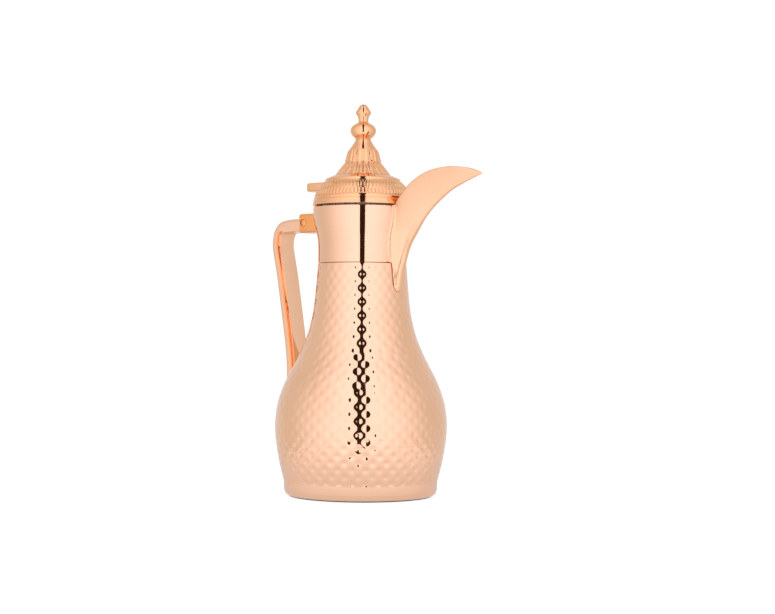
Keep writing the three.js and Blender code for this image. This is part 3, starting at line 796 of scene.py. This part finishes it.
def make_skirt():
    """Below the beak, the walls run down the shell as a tongue that ends in a half round."""
    end_height, end_half, end_crease, end_crease_half = SKIRT[0]
    foot = []
    for turn in np.radians(np.linspace(86, 6, 14)):
        drop, share = math.sin(turn), math.cos(turn) ** 0.5
        height = end_height - (end_height - TAIL_END) * drop
        foot.append((height, end_half * share, end_crease - 0.5 * drop, end_crease_half * share))
    rings = []
    for z, half, crease, crease_half in [*foot, *spline(SKIRT, 40)]:
        behind = shell_line if z < SEAM else collar_line
        wall = math.sqrt(np.interp(z, behind[:, 1], behind[:, 0]) ** 2 - half**2)
        edge = wall + 0.8
        middle = (edge + (crease - edge) * 0.45, half + (crease_half - half) * 0.52)
        side = [(wall - 2, half), (wall, half), (edge, half - 0.15), middle, (crease, crease_half)]
        mirrored = [(x, -y) for x, y in side]
        rings.append([(x, y, z) for x, y in [*mirrored, (crease + 0.3, 0), *side[::-1]]])
    return loft("skirt", rings)


def crease_groove(beak, side):
    """A fine round rod along the line where the bead meets the walls. It thins out at both ends."""
    sunk = []
    for x, half, z in evened(spline(CREASE, 60), 0.6):
        spot = Vector((x + AXIS_X, side * half, z)) * MM
        surface, normal = beak.closest_point_on_mesh(spot)[1:3]
        sunk.append(surface / MM - normal * GROOVE_SUNK)
    line = evened(spline(np.array(sunk)[::6] - (AXIS_X, 0, 0), 80), 0.6)
    share = np.linspace(0, 1, len(line))
    radius = GROOVE_RADIUS * smoothstep(0, 0.06, share) * (1 - 0.85 * smoothstep(0.5, 1, share)) + 0.02
    return rod("groove", line, radius)


def smoothed(obj, iterations, group=""):
    modifier = obj.modifiers.new("smooth", "SMOOTH")
    modifier.factor = 0.5
    modifier.iterations = iterations
    modifier.vertex_group = group
    return settle(obj)


def soften_root(obj):
    """Turns the corner between the collar and the beak's walls into a broad fillet."""
    mesh = obj.data
    points = np.empty(len(mesh.vertices) * 3)
    mesh.vertices.foreach_get("co", points)
    x, y, z = (points.reshape(-1, 3) / MM - (AXIS_X, 0, 0)).T
    near = smoothstep(46, 42, x) * smoothstep(3.6, 5.4, np.abs(y)) * smoothstep(192, 200, z)
    near *= smoothstep(33, 35, x) * smoothstep(COLLAR_TOP + 1, COLLAR_TOP - 1.5, z)
    near *= smoothstep(FLANGE_HALF - 0.1, FLANGE_HALF - 0.9, np.abs(y))
    group = obj.vertex_groups.new(name="root")
    for share in (0.25, 0.5, 0.75, 1):
        group.add(np.flatnonzero(np.abs(near - share) <= 0.125).tolist(), share, "REPLACE")
    return smoothed(obj, 100, "root")


def remeshed(obj, voxel, smoothing):
    modifier = obj.modifiers.new("remesh", "REMESH")
    modifier.mode = "VOXEL"
    modifier.voxel_size = voxel * MM
    return smoothed(obj, smoothing)


def make_beak():
    beak = beak_walls()
    flange = sector("flange", collar_section(-0.07), FLANGE_HALF + 1.2, True, 40)
    join(beak, make_keel_bead(), make_skirt(), flange)
    remeshed(beak, 0.5, 5)
    soften_root(beak)
    grown = np.array([(r + 0.25, z) for r, z in shell_line[::4]])
    grown = grown[grown[:, 1] > 100]
    under = turned("under", [(0, 99), (grown[0][0], 99), *grown, (36.5, 189), (0, 189)], 96)
    within = offset(collar_line, -COLLAR_WALL - 0.02)[1:-1]
    within = turned("within", [(0, 180), *within, (39, 234), (39, 270), (0, 270)], 96)
    slot = block("slot", (30, -SLOT_HALF, SLOT_LOW), (43, SLOT_HALF, COLLAR_TOP + 2))
    cut(beak, beak_hollow(), within, under, slot)
    remeshed(beak, 0.5, 3)
    cut(beak, crease_groove(beak, 1), crease_groove(beak, -1))
    return piece(shaded(beak), "flask", "satin_plating", "spout")


# ---- Handle ----
def handle_rings(section, start=0.0, steps=110):
    """Rings down the handle. section gives the (depth, y) outline at each share of the handle's length."""
    line = spline([(-back, z) for back, z in HANDLE_POINTS], steps)
    rings = []
    for i, ((x, z), (nx, nz)) in enumerate(zip(line, -normals(line))):
        if i >= start * steps:
            rings.append([(x + nx * depth, y, z + nz * depth) for depth, y in section(i / steps)])
    return rings


def belly_cutter():
    """Keeps the handle off the shell, by the thickness of its pad."""
    line = shell_line[::3]
    grown = offset(line, PAD_THICKNESS)
    below = line[0][1] - 9
    outline = [(0, below), (line[0][0] + PAD_THICKNESS, below), *grown, (0, line[-1][1])]
    return turned("belly", outline, 128)


def both_sides(half):
    """Half an outline of (depth, y), and its mirror image."""
    return [*half, *[(depth, -y) for depth, y in half[::-1]]]


def make_strap():
    edge = arc(STRAP_ROUNDING, STRAP_HALF - STRAP_ROUNDING, STRAP_ROUNDING, 180, 90, 8)
    section = both_sides([(0, 3), *edge, (STRAP_DEPTH, STRAP_HALF)])
    strap = loft("handle", handle_rings(lambda share: section), 45)
    cut(strap, belly_cutter())
    return piece(shaded(strap, 40), "flask", "polished_plating", "handle_strap")


def flute(side):
    """The cutter for the flute down a side of the insert. It widens through the bend from the inner edge."""

    def section(share):
        widened = smoothstep(0.1, 0.27, share)
        far = INSERT_DEPTH - 0.45
        near = far - 0.15 - (far - STRAP_DEPTH) * widened
        floor = INSERT_HALF - 1.0
        outline = ((near, 12), (near, floor - 1.2 * widened), (far, floor), (far, 12))
        return [(depth, side * y) for depth, y in outline]

    return loft("flute", handle_rings(section, 0.1))


def make_insert():
    start = STRAP_DEPTH + 0.02
    edge = arc(INSERT_DEPTH - 0.5, INSERT_HALF - 0.5, 0.5, 90, 0, 6)
    section = both_sides([(start, INSERT_HALF), *edge])
    insert = loft("handle_inner", handle_rings(lambda share: section), 45)
    cut(insert, flute(1), flute(-1), belly_cutter(), block("below", (-100, -20, 0), (0, 20, 86)))
    return piece(shaded(insert, 40), "flask", "polished_plating", "handle_insert")


def make_bracket():
    corners = (-BRACKET_END, -BRACKET_HALF, BRACKET_LOW), (-34, BRACKET_HALF, BRACKET_HIGH)
    base = bevelled(block("hinge_bracket", *corners), 2, 5)
    x = -PIN_BACK
    outline = [
        (x + 2.4, BRACKET_HIGH - 3), *arc(x, PIN_HEIGHT, KNUCKLE_RADIUS, 25, 180, 14),
        (x - KNUCKLE_RADIUS - 1.2, BRACKET_HIGH - 3),
    ]
    for side in (-1, 1):
        low, high = sorted((side * EAR_INSIDE, side * EAR_OUTSIDE))
        join(base, bevelled(plate("ear", outline, low, high), 0.45, 3, 50))
    line = offset(collar_line, BRACKET_GAP)
    above = COLLAR_TOP + 0.2
    collar = [(0, 150), (38, 150), *line, (41, COLLAR_TOP), (41, above), (0, above)]
    bores = [
        across("bore", [(0, low), (3.2, low), (3.2, high), (0, high)], CROSS_PIN_BACK, CROSS_PIN_HEIGHT)
        for low, high in ((BRACKET_HALF - 1, 12), (-12, 1 - BRACKET_HALF))
    ]
    cut(base, turned("collar_cutter", collar, 128), *bores)
    # The bracket wears the deeper orange plating, a painted reflection of the collar.
    return piece(shaded(base, 35), "flask", "polished_plating", "handle_bracket", look="plating_painted_reflection")


def make_cross_pin():
    head = [(0, 8.95), (1.2, 8.9), (2.1, 8.72), (2.6, 8.42), (2.8, 8.1), (2.8, 7.9), (2, 7.9)]
    pin = headed_pin("handle_pin", head, CROSS_PIN_BACK, CROSS_PIN_HEIGHT, 48)
    # The pin wears the deeper orange plating, a painted reflection of the collar.
    return piece(pin, "flask", "polished_plating", "handle_cross_pin", look="plating_painted_reflection")


def make_hinge_pin():
    head = [(0, 8.3), (0.9, 8.2), (1.5, 7.9), (1.7, 7.6), (1.7, 7.3), (1, 7.3)]
    pin = headed_pin("lid_pin", head, PIN_BACK, PIN_HEIGHT, 32)
    return piece(pin, "flask", "steel", "hinge_pin")


def make_spring():
    """Wire wound round the hinge pin, with a leg down to the bracket. The leg up turns with the lid."""
    mean, thick, turns, reach = 1.75, 0.33, 3, 1.03
    angle = np.linspace(math.pi, math.pi - 2 * math.pi * turns, 90)
    coil = np.stack([
        mean * np.cos(angle) - PIN_BACK, np.linspace(-reach, reach, 90), mean * np.sin(angle) + PIN_HEIGHT,
    ], 1)
    down = [(-PIN_BACK - mean, -reach, PIN_HEIGHT - d) for d in np.linspace(8.8, 0.4, 10)]
    up = [(-PIN_BACK - mean, reach + 0.54, PIN_HEIGHT + d) for d in np.linspace(0.0, 8.4, 10)]
    piece(rod("lid_spring", [*down, *coil], thick), "flask", "steel", "hinge_spring")
    leg = rod("lid_spring_leg", up, thick)
    paint(leg, "steel")
    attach(leg, "lid")


# ---- Lid ----
def leaf_rise(height, angle, low, high, shift):
    """A ring of upright leaves, each a raised pointed oval."""
    v = (height - low) / (high - low)
    u = (angle * LEAVES / (2 * math.pi) + shift) % 1 * 2 - 1
    half = np.sqrt(np.clip(1 - np.clip(v, 0, 1) ** 2.4, 0, 1)) * smoothstep(-0.02, 0.12, v)
    across_leaf = np.clip(1 - (u / np.maximum(half, 0.02)) ** 4, 0, 1)
    return np.where((v > 0) & (v < 1), np.sqrt(across_leaf), 0)


def petal_rise(height, angle):
    """Petals sunk into the bell: round lobes below, and above them ribs with a valley over each lobe."""
    u = np.abs((angle * PETALS / (2 * math.pi) + 0.5 - PETAL_AZIMUTH * PETALS / 360) % 1 * 2 - 1)
    v = (height - PETAL_MIDDLE) / (PETAL_WAIST - PETAL_MIDDLE)
    lobe = np.sqrt(np.clip(1 - v**2 - u**2, 0, 1))
    valley = 0.5 + 0.5 * np.cos(math.pi * np.clip(u / 0.62, 0, 1))
    among_lobes = smoothstep(PETAL_LOW - 1.4, PETAL_LOW, height)
    among_lobes *= smoothstep(PETAL_WAIST + 1.2, PETAL_WAIST - 0.8, height)
    among_ribs = smoothstep(PETAL_WAIST - 1, PETAL_WAIST + 1, height)
    among_ribs *= smoothstep(PETAL_HIGH, PETAL_HIGH - 0.4, height)
    narrowing = 1.25 - 0.6 * smoothstep(PETAL_WAIST, PETAL_HIGH, height)
    return LOBE_DEPTH * (lobe - 1) * among_lobes - RIB_DEPTH * valley * narrowing * among_ribs


def cover_outline():
    band = evened(spline([(39.4, 243.6), (37.7, 247.9), (35.1, 252.2), (31.6, 255.8)], 60), 0.28)
    rim = rounded([
        (39.3, LID_BOTTOM, 0.2), (41, LID_BOTTOM, 0.4), (40.45, 240.7, 0.3), (39.7, 241.05, 0.2),
        (39.9, 241.5, 0.3), (40, 243.1, 0.5),
    ])[5:]
    bell = evened(spline([
        (30.1, 258.3), (28.1, 259.2), (25.9, 260.3), (23.7, 261.7), (21.5, 263.7), (19.4, 266.2),
        (17.1, 269.2), (15.2, 272.6), (14, 276), (13.2, 279.3), (11.9, 282.1), (11.3, 282.6),
    ], 120), 0.28)
    shoulder = evened(spline([(11.2, 282.9), (10, 284.6), (8.4, 286.9), (7.1, 289), (6.4, 290.6)], 40), 0.4)
    step = [(31.1, 256.2), (30.9, 257), (30.7, 257.9)]
    inside = [
        (1.9, 290.6), (1.9, 286.5), (6, 286), (9.4, 281), (11.4, 275), (13.6, 268), (17.5, 260.8),
        (24.6, 258.2), (28.2, 257), (29, 254.4), (33.5, 250.2), (36.2, 246.6), (37.8, 241.8),
        (37.9, LID_BOTTOM),
    ]
    return [*rim, *band, *step, *bell, *shoulder], inside


def make_cover():
    outside, inside = cover_outline()
    line = np.array([*outside, *inside])
    outward = normals(line)
    is_outer = (np.arange(len(line)) < len(outside))[:, None]

    def relief(radius, height, angle):
        in_band = is_outer & (height > LEAF_LOW - 0.1) & (height < LEAF_HIGH + 0.1) & (radius > 30.9)
        leaves = np.maximum(
            leaf_rise(height, angle, LEAF_LOW, LEAF_MIDDLE + 0.5, 0) * LOWER_LEAF_RISE,
            leaf_rise(height, angle, LEAF_MIDDLE - 1.6, LEAF_HIGH, 0.5) * UPPER_LEAF_RISE,
        )
        in_bell = is_outer & (height > PETAL_LOW - 1.5) & (height < PETAL_HIGH + 0.1) & (radius < 26)
        rise = np.where(in_band, leaves - 0.12, 0) + np.where(in_bell, petal_rise(height, angle), 0)
        return radius + rise * outward[:, :1], height + rise * outward[:, 1:] * 0.6

    cover = turned("lid", line, 1152, 50, relief)
    return piece(cover, "lid", "polished_plating", "lid_cover", look="cast_plating")


def make_finial():
    outside = spline([
        (6.5, FINIAL_BOTTOM), (6.1, 291.3), (6.9, 292.2), (9, 294.2), (10.4, 297), (10.3, 299.6),
        (8.6, 302.2), (5.9, 304), (4.3, 305.2), (4.05, 306.2), (4.2, 308.2), (4.9, 310.2), (6, 311.9),
        (6.3, 313.1), (5.6, 314.7), (4.3, 316.6), (3.1, 318.5), (1.7, 319.6), (0, TOP),
    ], 150)
    finial = turned("lid_finial", [(0, FINIAL_BOTTOM), *outside], 128, 60)
    return piece(finial, "lid", "polished_plating", "finial", look="cast_plating")


def make_lever():
    x = LEVER_HALF - LEVER_END
    plan = [(-30, -LEVER_HALF), *arc(x, 0, LEVER_HALF, 270, 90, 24), (-30, LEVER_HALF)]
    tab = loft("thumb_tab", [[(px, py, z) for px, py in plan] for z in (LEVER_LOW, LEVER_HIGH)])
    bevelled(tab, 1.5, 4, 50)
    outline = [
        (KNUCKLE_RADIUS - PIN_BACK, LEVER_LOW + 2), *arc(-PIN_BACK, PIN_HEIGHT, KNUCKLE_RADIUS, 0, -180, 16),
        (-KNUCKLE_RADIUS - PIN_BACK, LEVER_LOW + 2),
    ]
    for side in (-1, 1):
        low, high = sorted((side * CHEEK_INSIDE, side * CHEEK_OUTSIDE))
        join(tab, bevelled(plate("cheek", outline, low, high), 0.3, 2, 50))
    cover = [
        (0, 236), (40.8, 236), (40.2, 241), (39.6, 243.6), (37.4, 247.8), (34.6, 252.2), (30.4, 255.9),
        (29.4, 258.4), (0, 262),
    ]
    cut(tab, turned("cover_cutter", cover, 128))
    return piece(shaded(tab, 35), "lid", "polished_plating", "thumb_lever", look="cast_plating")


def make_liner():
    line = [(0, 212.7), *rounded([
        (22, 212.7, 1.5), (33.6, 238.8, 0.5), (37.6, 238.8, 0.3), (37.6, 239.8, 0.4), (32.4, 239.8, 0.5),
        (20.8, 214.7, 1),
    ], 6), (0, 214.7)]
    return piece(turned("stopper", line, 128), "lid", "ivory_plastic", "lid_liner")


def make_seal():
    line = rounded([
        (7, 209.9, 0.4), (14, 209.9), (19.6, 209.7), (20.6, 208.9, 0.3), (21.6, 209.5, 0.4),
        (21.4, 210.9, 0.4), (20.4, 211.2, 0.3), (21.4, 211.6, 0.3), (21.4, 212.4, 0.3), (7, 212.4, 0.4),
    ])
    return piece(turned("seal_ring", line, 128), "lid", "silicone", "stopper_seal")


def make_seal_retainer():
    line = [(0, 208.6), *rounded([
        (5, 208.6, 0.5), (5.6, 207.6, 0.4), (12, 207.6, 1), (14.5, 208.6, 0.6), (14.5, 209.6, 0.3),
        (6.6, 209.6), (6.6, 212.4),
    ]), (0, 212.4)]
    return piece(turned("seal_nut", line, 96), "lid", "ivory_plastic", "seal_retainer")


# ---- What stays as it is in the CAD ----
KEPT_NODES = {
    "black_rubber": ("refill_cushion", "handle_foot_pad"),
    "silvered_glass": ("outer_glass",),
    "silicone": ("neck_gasket",),
    "black_plastic": ("neck_ring",),
    "steel": (
        "bracket_screw_left", "bracket_screw_right", "handle_lower_screw", "handle_lower_washer",
        "finial_screw", "lever_screw", "liner_screw_1", "liner_screw_2", "liner_screw_3",
    ),
    "foam": ("lid_insulation",),
}


# ---- Room, light and camera ----
def toward_camera():
    azimuth = math.radians(CAMERA_AZIMUTH)
    return Vector((math.sin(azimuth), -math.cos(azimuth), 0))


def right_of_camera():
    azimuth = math.radians(CAMERA_AZIMUTH)
    return Vector((math.cos(azimuth), math.sin(azimuth), 0))


def make_camera():
    data = bpy.data.cameras.new("camera")
    data.sensor_width = SENSOR
    data.lens = FOCAL * SENSOR
    camera = bpy.data.objects.new("camera", data)
    bpy.context.collection.objects.link(camera)
    roll = math.radians(CAMERA_ROLL)
    right = right_of_camera() * math.cos(roll) + Vector((0, 0, 1)) * math.sin(roll)
    up = Vector((0, 0, 1)) * math.cos(roll) - right_of_camera() * math.sin(roll)
    forward = -toward_camera() * FOCAL + right * AXIS_LEFT_OF_CENTRE + up * HORIZON_BELOW_CENTRE
    forward.normalize()
    right = (right - forward * right.dot(forward)).normalized()
    up = right.cross(forward)
    turn = Matrix((right, up, -forward)).transposed().to_4x4()
    place = Vector((AXIS_X, 0, CAMERA_HEIGHT)) + toward_camera() * CAMERA_DISTANCE
    camera.matrix_world = Matrix.Translation(place * MM) @ turn
    bpy.context.scene.camera = camera


class WorldNodes(Material):
    """The same node helpers for the world."""

    def __init__(self):
        self.world = bpy.data.worlds.new("tent")
        self.world.use_nodes = True
        self.tree = self.world.node_tree
        self.tree.nodes.clear()
        self.direction = self.tree.nodes.new("ShaderNodeTexCoord").outputs["Generated"]

    def dot(self, vector):
        return self.vector("DOT_PRODUCT", self.direction, vector)

    def soft(self, value, low, high):
        return self.spread(value, low, high, kind="SMOOTHSTEP")

    def degrees(self, operation, a, b):
        return self.maths("MULTIPLY", self.maths(operation, a, b), 180 / math.pi)


SLIT_LEFT, SLIT_RIGHT, SLIT_EDGE = -6.3, 5.6, 0.5  # degrees across, seen from the pot
SLIT_FOOT, SLIT_HEAD = -40.0, 98.0  # degrees up
SLIT_COLOUR = (0.03, 0.018, 0.01)
TENT_SIDES = (0.79, 0.77, 0.78)
TENT_FRONT = (1.37, 1.37, 1.62)
CLEAR_WHITE = 1.05  # bright enough to be pure white to the camera
FLOOR_RADIUS = 205


def make_tent():
    """A white tent round the pot, brightest at the front, with a dark slit for the camera."""
    w = WorldNodes()
    ahead = w.dot(toward_camera())
    aside = w.dot(right_of_camera())
    upward = w.dot((0, 0, 1))
    turn = w.degrees("ARCTAN2", aside, ahead)
    rise = w.degrees("ARCTAN2", upward, ahead)
    lean = w.degrees("ARCSINE", aside, 0)
    slit = w.soft(lean, SLIT_LEFT - SLIT_EDGE, SLIT_LEFT)
    for value, outside, within in (
        (lean, SLIT_RIGHT + SLIT_EDGE, SLIT_RIGHT),
        (rise, SLIT_FOOT - 1, SLIT_FOOT),
        (rise, SLIT_HEAD + 1, SLIT_HEAD),
    ):
        slit = w.maths("MULTIPLY", slit, w.soft(value, outside, within))
    front = w.soft(w.maths("ABSOLUTE", turn, 0), 118, 12)
    tent = w.mix(front, TENT_SIDES, TENT_FRONT)
    seen = w.mix(slit, tent, SLIT_COLOUR)
    colour = w.mix(w.to_camera(), seen, (CLEAR_WHITE,) * 3)
    background = w.tree.nodes.new("ShaderNodeBackground")
    output = w.tree.nodes.new("ShaderNodeOutputWorld")
    w.link(colour, background.inputs["Color"])
    w.link(background.outputs["Background"], output.inputs["Surface"])
    bpy.context.scene.world = w.world


def make_floor():
    """A pale round table top that glows. The pot sees it dimmer near its foot, as painted shade, and
    brighter towards the tent's front, as painted light; the camera sees an even glow.
    """
    rim = [(FLOOR_RADIUS * math.cos(a), FLOOR_RADIUS * math.sin(a), -0.2) for a in around(96)]
    floor = new_object("floor", rim, [list(range(96))])
    m = Material("pale_floor_painted_light")
    grain = m.noise(3, 3)
    place = m.vector("SUBTRACT", m.place, (AXIS_X * MM, 0, 0), "Vector")
    reach = m.vector("LENGTH", place)
    ahead = m.vector("DOT_PRODUCT", place, toward_camera())
    far = m.spread(reach, 0.07, FLOOR_RADIUS * MM)
    front = m.spread(m.maths("DIVIDE", ahead, reach), -0.6, 0.9)
    # Painted shade and painted light: the glow the pot sees is dimmer near its foot and brighter towards the
    # front.
    painted_shade_near_foot = m.mix(front, (0.38, 0.37, 0.38), (0.5, 0.53, 0.6))
    painted_light_far_out = m.mix(front, (0.4, 0.39, 0.4), (0.95, 0.95, 1.12))
    glow = m.mix(far, painted_shade_near_foot, painted_light_far_out)
    glow = m.mix(m.to_camera(), glow, (CLEAR_WHITE - 0.3,) * 3)
    m.link(glow, m.shader.inputs["Emission Color"])
    m.set(Emission_Strength=1.0, Specular_IOR_Level=0.0)
    colour = m.mix(grain, (0.4, 0.4, 0.4), (0.42, 0.42, 0.42))
    m.finish(colour, m.spread(grain, 0, 1, 0.8, 0.9), m.bump(grain, 0.02))
    floor.data.materials.append(m.material)


# ---- Assembly ----
make_camera()
make_tent()
make_floor()

make_shell()
make_foot()
make_anti_slip_ring()
make_bottom_cap()
make_inner_glass()
make_funnel()
make_collar()
make_beak()
make_strap()
make_insert()
make_bracket()
make_cross_pin()
make_hinge_pin()
make_spring()
make_cover()
make_finial()
make_lever()
make_liner()
make_seal()
make_seal_retainer()

for slot, nodes in KEPT_NODES.items():
    for node in nodes:
        paint(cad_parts[node], slot)

bpy.context.scene.view_settings.view_transform = "Standard"
